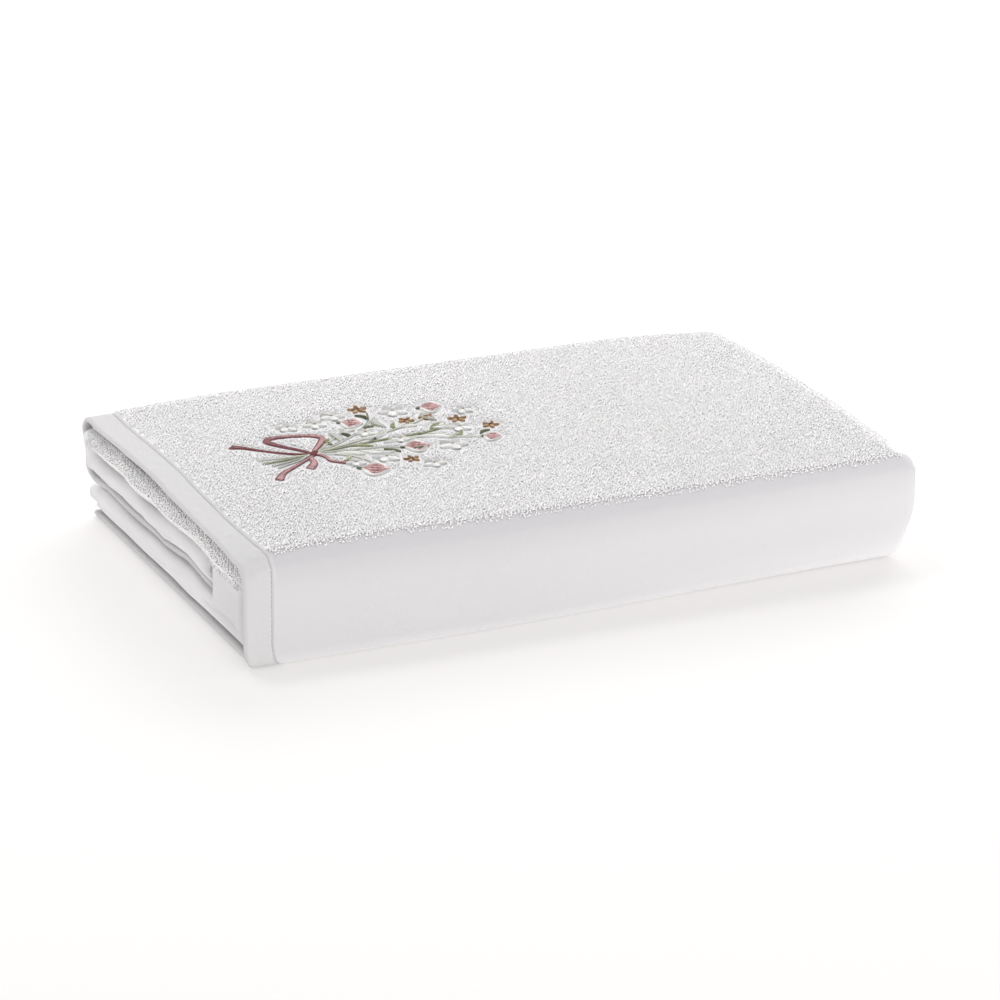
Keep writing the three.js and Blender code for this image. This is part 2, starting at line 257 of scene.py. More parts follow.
def settled(x, y, z):
    """The pack's own unevenness: thicker at its left front corner, crowned and slack behind."""
    level = z / PACK_HEIGHT
    swell = CORNER_SWELL * fading(np.hypot(x - LEFT, (y - FRONT) / 2), CORNER_SWELL_REACH)
    across = 1 - (x / RIGHT) ** 2
    crown = CROWN * across * (1 - (y / BACK) ** 2)
    sag = LEFT_SAG * fading(np.hypot(x - LEFT, y - BACK), SAG_REACH)
    sag = sag + RIGHT_SAG * fading(np.hypot(x - RIGHT, y - BACK), SAG_REACH)
    belly = FRONT_BELLY * across * 4 * level * (1 - level)
    undercut = RIGHT_UNDERCUT * eased(x, LEFT / 2, RIGHT) * (1 - level) ** 2
    slack = SLACK + DEEPEST_SLACK * fading(y - FRONT - DEEPEST_FROM_FRONT, SLACK_REACH)
    drop = HEM_DROP * eased(-x, 172, 191) * fading(y - FRONT, HEM_DROP_REACH)
    droop = drop + slack * eased(-x, 110, 180)
    droop = droop * eased(level, DROOP_FROM_LEVEL, 1.0) * eased(BACK - y, 0, BACK_EDGE_HOLD)
    drawn_in = HEM_DRAWN_IN * droop * eased(level, DRAWN_FROM_LEVEL, 1.0)
    at_end = eased(-x, 140, 182) * eased(level, 0.02, 0.2) * eased(1.01 - level, 0, 0.25)
    at_end = at_end * eased(y - FRONT, 6, 30)
    crease = np.sin(y / 13 + z / 9 + 0.6) + 0.7 * np.sin(y / 6.1 - z / 5 + 2) + np.sin(y / 29 + 4)
    ruck = np.sin(y / 9.5 - z / 7 + 1.1) + 0.8 * np.sin(y / 19 + z / 11)
    return np.stack([x + RUCK_DEPTH * ruck * at_end,
                     y + (undercut - belly) * eased(-y, 0, BACK) + drawn_in,
                     z * (1 + swell + crown - sag) - droop + CREASE_DEPTH * crease * at_end], -1)


DENT = 0.6
DENT_MIDDLE, DENT_REACH = (-71.0, 13.0), (84.0, 62.0)


def dented(x, y):
    """How far the cloth is drawn down under the bouquet, in millimetres."""
    off = np.hypot((x - DENT_MIDDLE[0]) / DENT_REACH[0], (y - DENT_MIDDLE[1]) / DENT_REACH[1])
    return DENT * (1 - eased(off, 0.75, 1.0))


# The outside and the inside face, one row of points for each station round the pack.
stations = [(stretch, s / steps, i + s / steps) for i, (stretch, steps) in enumerate(STRETCHES)
            for s in range(0 if i == 0 else 1, steps + 1)]
outside, inside = [], []
for stretch, share, place in stations:
    face_out, face_in, lay_names = faces_at(place)
    for face, rows in ((face_out, outside), (face_in, inside)):
        y, z = wrapped(face[:, 1], stretch, share)
        rows.append(settled(face[:, 0], y, z))
outside, inside = np.array(outside), np.array(inside)
on_top = np.array([name == "top" for name, _, _ in stations])[:, None]
on_top = on_top & np.isin(lay_names, ("hem", "outer"))
outside[..., 2] -= np.where(on_top, dented(outside[..., 0], outside[..., 1]), 0)
lay_names = np.array(lay_names)

# The skin: each row is a ring from the outer hem's nose round the inner hem's and back. Quads
# join the rings, and the selvedge at each end of the way round is closed across.
first_nose = (outside[:, 0] + inside[:, 0]) / 2 - [HEM_NOSE, 0, 0]
last_nose = (outside[:, -1] + inside[:, -1]) / 2 - [HEM_NOSE, 0, 0]
rings = np.concatenate(
    [outside, last_nose[:, None], inside[:, ::-1], first_nose[:, None]], axis=1)
centre = (rings.reshape(-1, 3).min(0) + rings.reshape(-1, 3).max(0)) / 2
cad_low, cad_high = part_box("towel")
centred = np.array([(cad_low.x + cad_high.x) / 2 / MM - centre[0],
                    (cad_low.y + cad_high.y) / 2 / MM - centre[1], 0])
rings += centred
outside += centred

row_count, ring = rings.shape[:2]
faces = []
for r in range(row_count - 1):
    for i in range(ring):
        a, b = r * ring + i, r * ring + (i + 1) % ring
        faces.append((a, b, b + ring, a + ring))
rungs = ring // 2 - 1
for base, flip in ((0, True), ((row_count - 1) * ring, False)):
    sides = [(i, i + 1, ring - 3 - i, ring - 2 - i) for i in range(rungs - 1)]
    sides += [(rungs - 1, rungs, rungs + 1), (0, ring - 2, ring - 1)]
    for side in sides:
        faces.append(tuple(base + t for t in (side[::-1] if flip else side)))


def piece_of(name, points, faces, smooth=True, edges=()):
    """A mesh object at the origin from points in millimetres."""
    mesh = bpy.data.meshes.new(name)
    mesh.from_pydata((np.asarray(points) * MM).tolist(), edges, faces)
    if smooth:
        mesh.polygons.foreach_set("use_smooth", [True] * len(mesh.polygons))
    mesh.update()
    piece = bpy.data.objects.new(name, mesh)
    bpy.context.scene.collection.objects.link(piece)
    return piece


def stated_at_points(mesh, name, values):
    """Gives each point of a mesh its number or vector under this name."""
    is_vector = values.ndim > 1
    layer = mesh.attributes.new(name, "FLOAT_VECTOR" if is_vector else "FLOAT", "POINT")
    layer.data.foreach_set("vector" if is_vector else "value", values.astype(np.float32).ravel())


towel = piece_of("Towel_sheet", rings.reshape(-1, 3), faces)


class Wire:
    """An output of a finish's nodes that works in sums like a number."""

    def __init__(self, finish, socket):
        self.finish, self.socket = finish, socket

    def result(self, operation, first, second=0.0):
        return self.finish.node("ShaderNodeMath", {0: first, 1: second}, operation=operation)

    def __add__(self, other):
        return self.result("ADD", self, other)

    def __rsub__(self, other):
        return self.result("SUBTRACT", other, self)

    def __mul__(self, other):
        return self.result("MULTIPLY", self, other)


class Finish:
    """A material put together node by node, with its shader's fixed values set first."""

    def __init__(self, name, **fixed):
        self.material = bpy.data.materials.new(name)
        self.material.use_nodes = True
        self.tree = self.material.node_tree
        self.shader = self.tree.nodes["Principled BSDF"]
        self.to_shader(**fixed)

    def put(self, socket, value):
        if isinstance(value, Wire):
            self.tree.links.new(value.socket, socket)
        else:
            socket.default_value = value

    def node(self, kind, inputs=None, output=0, **settings):
        made = self.tree.nodes.new(kind)
        for key, value in settings.items():
            setattr(made, key, value)
        for key, value in (inputs or {}).items():
            self.put(made.inputs[key], value)
        return Wire(self, made.outputs[output])

    def noise(self, scale, detail=2.0):
        """Cloudy noise that stays with the cloth."""
        here = self.node("ShaderNodeTexCoord", output="Object")
        return self.node("ShaderNodeTexNoise", {"Vector": here, "Scale": scale, "Detail": detail})

    def stated(self, name, output="Fac"):
        """What the mesh itself says at each point."""
        return self.node("ShaderNodeAttribute", output=output, attribute_name=name)

    def mix(self, share, first, second):
        """One colour going over to another."""
        return self.node("ShaderNodeMix", {0: share, 6: first, 7: second}, 2, data_type="RGBA")

    def bump(self, height, strength, distance):
        return self.node("ShaderNodeBump", {"Height": height, "Strength": strength,
                                            "Distance": distance})

    def to_shader(self, **values):
        for key, value in values.items():
            self.put(self.shader.inputs[key.replace("_", " ")], value)
        return self.material


COTTON = (0.99, 0.986, 0.988, 1)
COTTON_SHADE = (0.93, 0.922, 0.93, 1)
# Painted shade: a darker copy of the loops' cotton, mottled at random between these two, for the
# cloth's ground, the back and the right end.
PAINTED_SHADE_COTTON = (0.93, 0.925, 0.925, 1)
PAINTED_SHADE_COTTON_MOTTLE = (0.86, 0.85, 0.86, 1)
# Painted shade: the deep grey that the ground is drawn towards where its painted lightness is low.
DEEP_PAINTED_SHADE_COTTON = (0.56, 0.548, 0.568, 1)
HEM_COTTON = (0.655, 0.646, 0.652, 1)
HEM_THREAD_PITCH = 0.62

# The ground's finish: a plain weave and puckers on the hems, and matted fibre everywhere else. Off
# the hems its colour is painted light and shade, set by the painted lightness that the mesh gives
# at each point.
terry = Finish("terry_cotton", Roughness=0.95, Sheen_Weight=0.15, Sheen_Roughness=0.6)
cloud, fibre, pucker = terry.noise(26.0), terry.noise(1800.0, 3.0), terry.noise(170.0, 3.0)
parted = terry.node("ShaderNodeSeparateXYZ", {0: terry.stated("weave", "Vector")}).socket.node
lengthways, crossways, flatness = (Wire(terry, parted.outputs[axis]) for axis in "XYZ")
turns = 2 * math.pi / HEM_THREAD_PITCH
warp, weft = (way.result("SINE", way * turns) for way in (lengthways, crossways))
# Painted shade between the loops: the ground's darker copy of the cotton, mottled at random.
ground_painted_shade = terry.mix(cloud, PAINTED_SHADE_COTTON_MOTTLE, PAINTED_SHADE_COTTON)
# The ground's colour carries painted light and shade from the mesh's painted lightness.
ground = terry.mix(terry.stated("lightness"), DEEP_PAINTED_SHADE_COTTON, ground_painted_shade)
height = flatness * (warp * weft * 0.25 + pucker * 3.0) + (1 - flatness) * fibre * 0.5
towel.data.materials.append(terry.to_shader(
    Base_Color=terry.mix(flatness, ground, HEM_COTTON), Normal=terry.bump(height, 0.6, 0.0005)))

# The way along the cloth and the way across it at each point, in millimetres, and how flat
# its weave is there: 1 on a hem and 0 under the loops.
lengths, widths = distances_over(outside)
flat = (lay_names == "hem").astype(float)
flat[len(HEM_CUTS) - 1] = 0
weave_at = np.empty((row_count, ring, 3))
weave_at[..., 0] = np.concatenate([lengths, lengths[-1:] + 1, lengths[::-1], [-1]])
weave_at[..., 1] = widths[:, None]
weave_at[..., 2] = np.concatenate([flat, [0], flat[::-1], [1]])
stated_at_points(towel.data, "weave", weave_at)


def painted_light_and_shade_at(points):
    """Painted light and shade on the cloth: painted shade under the front's top edge and in the
    end, painted light lower down the front and further into the end's folds.
    """
    x, y, z = points[:, 0], points[:, 1], points[:, 2]
    down = PACK_HEIGHT - z
    # Painted light down the front: it grows lighter, most of all low at its right and at the very
    # bottom.
    front = 0.06 + 0.14 * eased(down, 4, 24) + 0.05 * eased(x, -80, 190)
    front = front + 0.18 * eased(x, -60, 170) * eased(down, 34, 54)
    front = front + (0.35 - 0.25 * eased(x, 20, 150)) * eased(down, 54, 59)
    front = front + 0.5 * eased(down, 57.5, 59.4)
    # Painted shade in the left end by the front, and painted light where its folds lie further in.
    near_end = eased(-y, 58, 85) * eased(down, 8, 30)
    end = 0.58 - 0.32 * near_end + 0.42 * eased(x, -187, -179)
    on_front = eased(-y, 108, 113) * eased(x, -182, -172)
    return np.clip(front * on_front + end * (1 - on_front), 0, 1)


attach(towel, "root")
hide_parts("towel")

# The bouquet on the top near the hem: a ribbon bow, stems, leaves, buds and small flowers, all
# sewn by machine with glossy thread. Satin stitches lie side by side across each form and sink
# into the pile, which stands round them.
chance = np.random.default_rng(11)

# Places in the bouquet are measured from the ribbon's knot.
KNOT = np.array([-101.0, 4.9])
GROUND_Z = PACK_HEIGHT - (CLOTH_HALF - GROUND_HALF)
THREAD_RADIUS, THREAD_SIDES = 0.21, 3
SATIN_PITCH, SATIN_FLOOR, SATIN_HEIGHT = 0.40, -0.5, 0.8
SATIN_SHOULDER = 0.62
LEAST_SATIN_HALF = 0.25
STEM_STEP, STEM_FLOOR, STEM_HALF = 1.3, -0.4, 0.16
KNOT_HALF, KNOT_FLOOR, KNOT_HEIGHT = 0.55, 0.2, 1.15
LEAF_PROFILE = np.array([0.12, 0.6, 0.9, 1.0, 0.92, 0.7, 0.1])
PETALS = 5
BARE_MIDDLE = 0.7
CURVE_STEPS = 16


def towards(angle):
    """The way that an angle points."""
    return np.array([math.cos(angle), math.sin(angle)])


def left_of(ways):
    """The ways square to the left of these."""
    return np.stack([-ways[..., 1], ways[..., 0]], -1)


def along_curve(points, step):
    """Evenly spaced points on a smooth line through the points given, and its directions."""
    points = np.asarray(points, float)
    padded = np.vstack([2 * points[0] - points[1], points, 2 * points[-1] - points[-2]])
    t = np.linspace(0, 1, CURVE_STEPS, endpoint=False)[:, None]
    parts = []
    for i in range(len(points) - 1):
        a, b, c, d = padded[i:i + 4]
        parts.append(0.5 * (2 * b + (c - a) * t + (2 * a - 5 * b + 4 * c - d) * t * t
                            + (3 * b - a - 3 * c + d) * t ** 3))
    line = np.vstack(parts + [points[-1:]])
    length = distance_along(line)
    at = np.linspace(0, length[-1], max(2, round(length[-1] / step)) + 1)
    spots = np.column_stack([np.interp(at, length, line[:, k]) for k in (0, 1)])
    ways = np.gradient(spots, axis=0)
    return spots, ways / np.linalg.norm(ways, axis=1)[:, None]


def satin(path, widths, slant=0.4, rise=1.0):
    """Stitches side by side across a path that is as wide as it says along its length."""
    spots, ways = along_curve(path, SATIN_PITCH)
    share = np.linspace(0, 1, len(spots))
    half = np.interp(share, np.linspace(0, 1, len(widths)), widths) / 2
    across = left_of(ways) + slant * ways
    top = SATIN_HEIGHT * rise
    bends = ((-1, SATIN_FLOOR), (-SATIN_SHOULDER, top), (SATIN_SHOULDER, top + 0.05),
             (1, SATIN_FLOOR))
    made = []
    for spot, reach, way in zip(spots, half, across):
        if reach < LEAST_SATIN_HALF:
            continue
        reach *= 1 + chance.normal(0, 0.05)
        made.append([(*(spot + way * reach * t), height) for t, height in bends])
    return made


def leaf(base, tip, width, bend=0.0, **how):
    """Satin stitches in the form of a leaf or petal from its base to its tip."""
    base, tip = np.array(base, float), np.array(tip, float)
    middle = (base + tip) / 2 + bend * left_of(tip - base)
    return satin([base, middle, tip], width * LEAF_PROFILE, **how)


def stem(path, beside, height=0.75):
    """Stem stitch: short stitches along a path, each starting beside the one before."""
    spots, ways = along_curve(path, STEM_STEP)
    reach = np.linspace(0, 1, len(spots))
    beside = np.interp(reach, np.linspace(0, 1, np.size(beside)), np.ravel(beside))
    spots = spots + beside[:, None] * left_of(ways)
    made = []
    for i in range(len(spots) - 2):
        side = left_of(ways[i]) * STEM_HALF
        a, b = spots[i] - side, spots[i + 2] + side
        made.append([(*a, STEM_FLOOR), (*(a + (b - a) * 0.2), height),
                     (*(a + (b - a) * 0.8), height), (*b, STEM_FLOOR)])
    return made


def star(centre, radius, turn, breadth, **how):
    """A small flower of short satin petals round a bare middle."""
    made = []
    for i in range(PETALS):
        way = towards(turn + 2 * math.pi * i / PETALS)
        made += leaf(centre + way * BARE_MIDDLE, centre + way * radius, radius * breadth,
                     slant=0.15, **how)
    return made


def knots(centre, count, spread):
    """French knots in the middle of a flower, each a few short crossed stitches."""
    made = []
    for i in range(count):
        spot = centre + spread * math.sqrt(i / count) * towards(2.4 * i)
        for turn in (0.3, 1.9):
            way = KNOT_HALF * towards(turn + i)
            made.append([(*(spot - way), KNOT_FLOOR), (*(spot - way * 0.5), KNOT_HEIGHT),
                         (*(spot + way * 0.5), KNOT_HEIGHT), (*(spot + way), KNOT_FLOOR)])
    return made


sewn = {dye: [] for dye in ("wine", "mauve", "rose", "sage", "olive", "ochre", "brown", "white")}

# The ribbon: one wide loop and four tails, mauve between wine edges, and the knot that holds
# the stems.
for path, widths in (
        ([(0, 0), (-5, 8), (-12, 18), (-16, 27), (-12, 31), (-2, 30), (8, 27), (13, 22), (9, 14),
          (3, 6), (0, 1)], (1.2, 1.6, 2.2, 3.4, 3.6, 2.6, 2.4, 3.2, 3.6, 2.8, 1.6)),
        ([(-1, 0), (-9, 3), (-17, 9), (-25, 17), (-31, 24), (-36, 27)],
         (1.4, 1.1, 1.0, 1.0, 1.8, 4.8)),
        ([(-1, -1), (-4, -6), (-5, -13), (-10, -20)], (1.4, 2.4, 4.0, 5.0)),
        ([(0, -1), (-8, -8), (-17, -15), (-25, -21), (-31, -30)], (1.2, 1.4, 1.8, 3.2, 4.8)),
        ([(1, -1), (4, -7), (4, -13), (9, -18), (15, -22)], (1.2, 1.6, 1.6, 1.8, 2.2))):
    sewn["mauve"] += satin(path, widths, slant=0.35, rise=0.75)
    for edge in (-0.46, 0.46):
        sewn["wine"] += stem(path, edge * np.array(widths), 0.7)
sewn["wine"] += satin([(-2.4, -2.4), (2.4, 2.4)], (3.0, 4.4, 4.4, 3.0), slant=0.0, rise=1.3)

# The stems, from their cut ends through the knot and out to the flowers.
STEMS = {
    "long": [(-30, -4), (-14, -3), (0, 0), (20, 4), (44, 7), (66, 9), (86, 15)],
    "high": [(-27, -9), (-12, -5), (0, 0), (17, 10), (33, 22), (45, 36), (50, 50)],
    "near_high": [(-31, 2), (-14, 0), (0, 0), (12, 12), (22, 22), (31, 31)],
    "middle": [(0, 0), (26, 9), (50, 18), (70, 27), (80, 38)],
    "low": [(-25, -13), (-11, -7), (0, 0), (22, -2), (38, -4), (49, -9)],
    "near_low": [(0, 0), (12, -6), (20, -15), (24, -26)],
    "far": [(44, 7), (62, 3), (80, -4), (91, -9)],
}
for name, path in STEMS.items():
    sewn["olive" if name in ("long", "high", "low") else "sage"] += stem(path, 0.26)
    sewn["sage" if name == "long" else "white"] += stem(path, -0.34)

# Small green leaves along the stems.
for base, tip, width, bend, dye in (
        ((22, 4), (33, -1), 2.6, 0.12, "sage"), ((33, 6), (39, 11), 2.6, -0.15, "olive"),
        ((14, 9), (16, 19), 2.4, 0.2, "sage"), ((27, 17), (25, 24), 2.8, -0.15, "olive"),
        ((38, 27), (45, 28), 2.6, 0.2, "olive"), ((54, 19), (57, 29), 2.6, 0.15, "sage"),
        ((62, 9), (70, 4), 2.6, -0.15, "olive"), ((70, 11), (79, 20), 2.4, 0.1, "sage"),
        ((36, -7), (43, -14), 2.8, 0.15, "olive"), ((16, -9), (10, -16), 2.4, 0.15, "sage"),
        ((50, -14), (57, -12), 2.6, 0.2, "olive"), ((46, 40), (42, 48), 2.8, -0.2, "olive"),
        ((76, -2), (85, 4), 2.4, -0.2, "sage"), ((92, -4), (99, -1), 2.4, 0.2, "olive")):
    sewn[dye] += leaf(base, tip, width, bend)

# White leaves lie between the stems, each with a green line along one side.
for base, tip, width, bend in (
        ((20, 12), (19, 27), 5.6, -0.12),
        ((24, 24), (33, 26), 5.0, 0.2), ((31, 12), (47, 16), 5.4, -0.1),
        ((50, 24), (50, 40), 6.0, 0.12), ((57, 21), (66, 20), 5.0, 0.15),
        ((10, -4), (24, -11), 5.6, 0.12), ((24, -5), (40, -13), 5.0, -0.12),
        ((40, 2), (57, 2), 5.0, 0.1), ((60, 4), (76, -4), 5.6, 0.12),
        ((72, 14), (86, 14), 5.2, -0.12), ((79, 24), (76, 38), 5.6, 0.12)):
    sewn["white"] += leaf(base, tip, width, bend, rise=1.0)
    middle = (np.add(base, tip) + 2 * bend * left_of(np.subtract(tip, base))) / 2
    sewn["sage"] += stem([base, middle, tip], 0.5 * np.array([0.4, width, 0.4]), 0.9)

# Buds: four rose petals that meet at both ends, between two white ones, in a green cup.
BUD_HALF = 6.5
for x, y, angle, size in ((84, 44, -0.25, 0.95), (36, 37, -0.55, 0.95), (54, -9, -0.15, 1.05),
                          (21, -33, -0.5, 1.15), (96, -11, -0.6, 0.75)):
    spot = np.array([x, y], float)
    half = BUD_HALF * size * towards(angle)
    for bend, width, dye in ((-0.66, 3.2, "white"), (0.60, 2.4, "white"), (0.42, 2.0, "rose"),
                             (0.15, 2.5, "rose"), (-0.13, 2.3, "rose"), (-0.40, 1.9, "rose")):
        reach = half * chance.uniform(0.86, 1.06)
        sewn[dye] += leaf(spot - half, spot + reach, width * size, bend, rise=0.9)
    sewn["olive"] += leaf(spot - 1.35 * half, spot - 0.8 * half, 2.6 * size, slant=0.1)

# Small open flowers with knotted middles, the ochre ones with pointed petals.
for x, y, radius, turn in ((47, 56, 5.6, 0.2), (64, 30, 4.6, 0.8), (90, 22, 5.4, 0.1),
                           (76, 31, 4.6, 0.5), (44, -26, 4.6, 0.3), (102, 6, 4.8, 0.9)):
    spot = np.array([x, y], float)
    sewn["ochre"] += star(spot, radius, turn, 0.5)
    sewn["brown"] += knots(spot, 5, 1.3)
for x, y, radius, turn in ((2, 43, 6.4, 0.1), (63, 46, 8.2, 0.5), (72, -14, 8.2, 0.9),
                           (33, -19, 7.6, 0.2), (17, 42, 6.4, 0.6), (30, 51, 7.0, 0.9),
                           (37, 20, 6.2, 0.4), (86, 9, 6.6, 0.3), (52, -37, 6.4, 0.8),
                           (50, 4, 5.0, 0.6), (98, 33, 6.0, 0.3), (15, -21, 5.6, 0.5)):
    spot = np.array([x, y], float)
    sewn["white"] += star(spot, radius, turn, 0.86, rise=1.2)
    sewn["ochre"] += knots(spot, 4, 0.9)


def tree_taking(name, inputs):
    """An empty tree that a mesh and the named inputs go into, and the node that gives them."""
    tree = bpy.data.node_groups.new(name, "GeometryNodeTree")
    for label, kind in {"Geometry": "Geometry", **inputs}.items():
        tree.interface.new_socket(label, in_out="INPUT", socket_type=f"NodeSocket{kind}")
    tree.interface.new_socket("Geometry", in_out="OUTPUT", socket_type="NodeSocketGeometry")
    return tree, tree.nodes.new("NodeGroupInput")


def ended(tree, made, material):
    """Ends a tree: what it made becomes one real mesh in one material and goes out."""
    whole = tree.nodes.new("GeometryNodeRealizeInstances")
    dyed = tree.nodes.new("GeometryNodeSetMaterial")
    leaving = tree.nodes.new("NodeGroupOutput")
    tree.links.new(made, whole.inputs["Geometry"])
    tree.links.new(whole.outputs["Geometry"], dyed.inputs["Geometry"])
    tree.links.new(material, dyed.inputs["Material"])
    tree.links.new(dyed.outputs["Geometry"], leaving.inputs["Geometry"])
    return tree


def thread_tree():
    """Draws a thread of one thickness along every stitch."""
    tree, given = tree_taking("Draw thread through stitches", {
        "Thread radius": "Float", "Sides": "Int", "Thread": "Material"})
    link = tree.links.new
    lines = tree.nodes.new("GeometryNodeMeshToCurve")
    link(given.outputs["Geometry"], lines.inputs["Mesh"])
    section = tree.nodes.new("GeometryNodeCurvePrimitiveCircle")
    link(given.outputs["Thread radius"], section.inputs["Radius"])
    link(given.outputs["Sides"], section.inputs["Resolution"])
    tubes = tree.nodes.new("GeometryNodeCurveToMesh")
    link(lines.outputs["Curve"], tubes.inputs["Curve"])
    link(section.outputs["Curve"], tubes.inputs["Profile Curve"])
    tubes.inputs["Fill Caps"].default_value = True
    return ended(tree, tubes.outputs["Mesh"], given.outputs["Thread"])


def made_by_nodes(start, tree, inputs):
    """Runs a tree on a starting mesh and keeps what it makes as a plain mesh object."""
    modifier = start.modifiers.new("Make", "NODES")
    modifier.node_group = tree
    for item in tree.interface.items_tree:
        if item.in_out == "INPUT" and item.name in inputs:
            modifier[item.identifier] = inputs[item.name]
    seen = start.evaluated_get(bpy.context.evaluated_depsgraph_get())
    result = bpy.data.meshes.new_from_object(seen)
    start.modifiers.clear()
    start.data = result
    for attribute in ("stand", "spin", "size"):
        if attribute in result.attributes:
            result.attributes.remove(result.attributes[attribute])
    result.polygons.foreach_set("use_smooth", [True] * len(result.polygons))
    result.name = start.name


def threaded(name, stitches, finish, radius):
    """One piece of stitches, each given as points in millimetres, three in a row of one shade."""
    points = np.concatenate([np.asarray(s, float) for s in stitches])
    counts = [len(s) for s in stitches]
    starts = np.concatenate([[0], np.cumsum(counts)[:-1]])
    edges = [(a + i, a + i + 1) for a, n in zip(starts, counts) for i in range(n - 1)]
    start = piece_of(name, points, [], False, edges)
    tint = np.repeat(chance.uniform(0, 1, len(stitches) // 3 + 1), 3)[:len(stitches)]
    stated_at_points(start.data, "shade", np.repeat(tint, counts))
    made_by_nodes(start, thread_nodes, {"Thread radius": radius * MM, "Sides": THREAD_SIDES,
                                        "Thread": finish})
    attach(start, "root")
    return start


def thread_finish(name, dark, light):
    """Glossy embroidery thread, each stitch a little lighter or darker than the next."""
    dyed = Finish(name, Roughness=0.48, Sheen_Weight=0.25, Sheen_Roughness=0.4)
    twist = dyed.noise(5000.0)
    colour = dyed.mix(dyed.stated("shade") * 0.7 + twist * 0.3, (*dark, 1), (*light, 1))
    return dyed.to_shader(Base_Color=colour, Normal=dyed.bump(twist, 0.3, 0.0002))


thread_nodes = thread_tree()
DYES = {
    "wine": ((0.17, 0.035, 0.045), (0.34, 0.11, 0.12)),
    "mauve": ((0.20, 0.045, 0.055), (0.58, 0.30, 0.31)),
    "rose": ((0.36, 0.12, 0.13), (0.76, 0.50, 0.49)),
    "sage": ((0.25, 0.27, 0.13), (0.52, 0.54, 0.34)),
    "olive": ((0.06, 0.07, 0.03), (0.20, 0.22, 0.11)),
    "ochre": ((0.21, 0.10, 0.035), (0.54, 0.31, 0.13)),
    "brown": ((0.10, 0.045, 0.015), (0.18, 0.09, 0.03)),
    "white": ((0.70, 0.70, 0.69), (0.82, 0.82, 0.81)),
}
stitch_spots = []
for dye, stitches in sewn.items():
    points = np.array(stitches)
    points[..., :2] += KNOT
    stitch_spots.append(points[..., :2].reshape(-1, 2))
    placed = settled(points[..., 0] - centred[0], points[..., 1] - centred[1],
                     GROUND_Z + points[..., 2]) + centred
    placed[..., 2] -= dented(placed[..., 0], placed[..., 1])
    finish = thread_finish(f"{dye}_thread", *DYES[dye])
    piece = threaded(f"Stitches_{dye}", placed, finish, THREAD_RADIUS)
stitch_spots = np.concatenate(stitch_spots)

# Round the stitches the cloth's colour is darkened: painted shade of the pile that stands over it.
stitched = KDTree(len(stitch_spots))
for i, (x, y) in enumerate(stitch_spots):
    stitched.insert((x, y, 0), i)
stitched.balance()
FROM_KNOT, HALF_BOUQUET = (32, 8), (85, 68)
FAR_OFF = 99.0


def from_stitches(points):
    """How far points on the top lie from the nearest stitch, where the bouquet is."""
    away = np.full(len(points), FAR_OFF)
    near_bouquet = np.all(np.abs(points[:, :2] - KNOT - FROM_KNOT) < HALF_BOUQUET, axis=1)
    for i in np.flatnonzero(near_bouquet & (points[:, 2] > 0.9 * PACK_HEIGHT)):
        away[i] = stitched.find((points[i, 0], points[i, 1], 0))[2]
    return away


ring_points = rings.reshape(-1, 3)
# Painted shade: the sheet's painted lightness is halved next to the stitches and recovers within 9
# mm.
lightness = painted_light_and_shade_at(ring_points) * (0.5 + 0.5 * eased(from_stitches(ring_points), 1.5, 9.0))
stated_at_points(towel.data, "lightness", lightness)

# The row of lockstitch that holds the turned hem down, 14 mm from its edge all round the pack.
SEAM_STITCH, SEAM_THREAD_RADIUS = 2.6, 0.2
SEAM_PLACES, SEAM_HEIGHTS = (0.02, 0.2, 0.8, 0.98), (-0.25, 0.14, 0.14, -0.25)
seam_column = HEM_CUTS.index(SEAM_AT)
seam_line = outside[:, seam_column]
seam_out = seam_line - (seam_line + inside[:, seam_column] + centred) / 2
seam_out /= np.linalg.norm(seam_out, axis=1)[:, None]
seam_length = distance_along(seam_line)
seam = []
for start in np.arange(1.0, seam_length[-1] - SEAM_STITCH, SEAM_STITCH):
    at = start + SEAM_STITCH * np.array(SEAM_PLACES)
    spots = np.column_stack([np.interp(at, seam_length, seam_line[:, k]) for k in range(3)])
    outwards = np.column_stack([np.interp(at, seam_length, seam_out[:, k]) for k in range(3)])
    seam.append(spots + outwards * np.array(SEAM_HEIGHTS)[:, None])
hem_thread = thread_finish("hem_thread", (0.40, 0.39, 0.40), (0.52, 0.51, 0.52))
hem_seam = threaded("Hem_seam", seam, hem_thread, SEAM_THREAD_RADIUS)

# The loops of the terry: cotton yarn woven so that it stands in loops on the ground. They
# stand close on the top, crisper towards its near left corner, and under the hem at the left
# end, and lie low on the back and the right end. The front is pressed smooth.
YARN_RADIUS = 0.40
LOOP_FOOT, LOOP_SHOULDER = 0.62, 0.30
LOOP_ROOT, LOOP_TOP = -0.25, 0.66
LOOP_TILT = 0.5


def yarn_loop():
    """One loop, a millimetre high: a bent spindle from one foot to the other."""
    points = [(-LOOP_FOOT, 0, LOOP_ROOT)]
    for x, tilt in ((-LOOP_SHOULDER, -LOOP_TILT), (LOOP_SHOULDER, LOOP_TILT)):
        for angle in np.arange(3) * 2 * math.pi / 3:
            out, over = YARN_RADIUS * math.cos(angle), YARN_RADIUS * math.sin(angle)
            points.append((x + out * math.sin(tilt), over, LOOP_TOP + out * math.cos(tilt)))
    points.append((LOOP_FOOT, 0, LOOP_ROOT))
    sides = []
    for i in range(3):
        j = (i + 1) % 3
        sides += [(0, 1 + i, 1 + j), (1 + i, 4 + i, 4 + j, 1 + j), (7, 4 + j, 4 + i)]
    return points, sides


